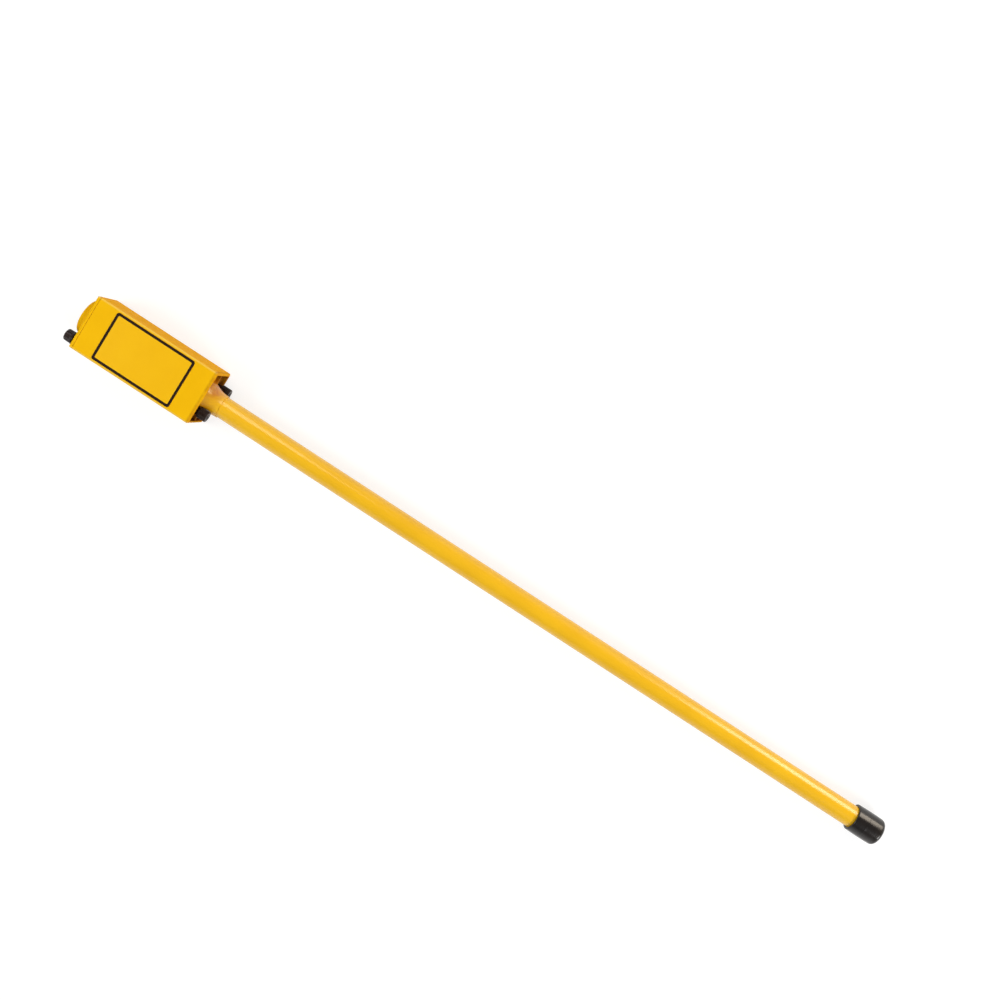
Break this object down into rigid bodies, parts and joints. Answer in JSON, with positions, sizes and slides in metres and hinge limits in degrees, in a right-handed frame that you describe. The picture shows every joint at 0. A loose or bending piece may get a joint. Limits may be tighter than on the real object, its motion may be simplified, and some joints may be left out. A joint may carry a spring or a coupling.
{
  "type": "magnetic locator",
  "caption": "Hand-held magnetic locator: a long sensor tube with a rubber tip, carried by a box of electronics with a speaker, control knobs and a slide-off cover.",
  "frame": {"origin": "middle of the housing's flat back face, on which the locator lies", "axes": "+X along the tube towards the tip, +Y across the width, +Z out of the front face"},
  "size_m": [1.0605, 0.066, 0.0511],
  "materials": {
    "yellow_paint": "gloss enamel on aluminium",
    "label": "printed film",
    "black_rubber": "moulded",
    "amber_rubber": "die-cut sheet",
    "black_plastic": "moulded",
    "steel": "plated",
    "sheet_aluminium": "plain",
    "dark_plastic": "moulded",
    "cloth": "woven",
    "pressed_metal": "satin",
    "board": "varnished",
    "capacitor_sleeve": "shrunk sleeve",
    "laminations": "varnished",
    "pale_plastic": "moulded",
    "battery_can": "wrapped can",
    "snap_plastic": "moulded",
    "laminate": "glass fibre laminate",
    "cable_sheath": "extruded",
    "copper": "enamelled wire"
  },
  "bodies": {
    "chassis": {"top_cap": "yellow_paint", "speaker_guard": "yellow_paint", "sensor_tube": "yellow_paint", "tip_cap": "black_rubber", "beam_bushes": "black_rubber", "cover_gasket": "amber_rubber", "tube_plug": "black_plastic", "chips": "black_plastic", "guard_screws": "steel", "panel_nuts": "steel", "cover_studs": "steel", "set_screws": "steel", "tray_screws": "steel", "board_standoffs": "steel", "board_screws": "steel", "bracket_screws": "steel", "battery_springs": "steel", "battery_strap": "steel", "speaker_magnet": "steel", "upper_core": "steel", "lower_core": "steel", "tube_bulkhead": "sheet_aluminium", "chassis_tray": "sheet_aluminium", "battery_bracket": "sheet_aluminium", "volume_pot": "dark_plastic", "sensitivity_switch": "dark_plastic", "speaker_screen": "cloth", "speaker_cone": "cloth", "speaker_basket": "pressed_metal", "circuit_board": "board", "capacitors": "capacitor_sleeve", "transformer": "laminations", "board_header": "pale_plastic", "upper_bobbin": "pale_plastic", "lower_bobbin": "pale_plastic", "battery_left": "battery_can", "battery_right": "battery_can", "battery_snaps": "snap_plastic", "sensor_beam": "laminate", "sensor_cable": "cable_sheath", "upper_winding": "copper", "lower_winding": "copper"},
    "cover": {"cover_sleeve": "yellow_paint", "lower_end": "yellow_paint", "label_plate": "label", "tube_seal": "black_rubber", "nut_washers": "steel"},
    "front_nut": {"thumb_nut_front": "black_plastic"},
    "back_nut": {"thumb_nut_back": "black_plastic"},
    "volume": {"volume_knob": "black_plastic", "volume_shaft": "steel"},
    "sensitivity": {"sensitivity_knob": "black_plastic", "sensitivity_shaft": "steel"}
  },
  "joints": [
    {"name": "cover_slide", "type": "slide", "parent": "chassis", "child": "cover", "axis": [1, 0, 0], "range_m": [0, 0.16]},
    {"name": "front_nut_turn", "type": "hinge", "parent": "cover", "child": "front_nut", "pos_m": [0.085, -0.01671, 0.03845], "axis": [1, 0, 0], "continuous": true},
    {"name": "back_nut_turn", "type": "hinge", "parent": "cover", "child": "back_nut", "pos_m": [0.085, 0.01276, 0.00847], "axis": [1, 0, 0], "continuous": true},
    {"name": "volume_turn", "type": "hinge", "parent": "chassis", "child": "volume", "pos_m": [-0.084, -0.0234, 0.042], "axis": [-1, 0, 0], "range_deg": [-300, 0]},
    {"name": "sensitivity_turn", "type": "hinge", "parent": "chassis", "child": "sensitivity", "pos_m": [-0.084, -0.0234, 0.0088], "axis": [-1, 0, 0], "range_deg": [-90, 0]}
  ]
}
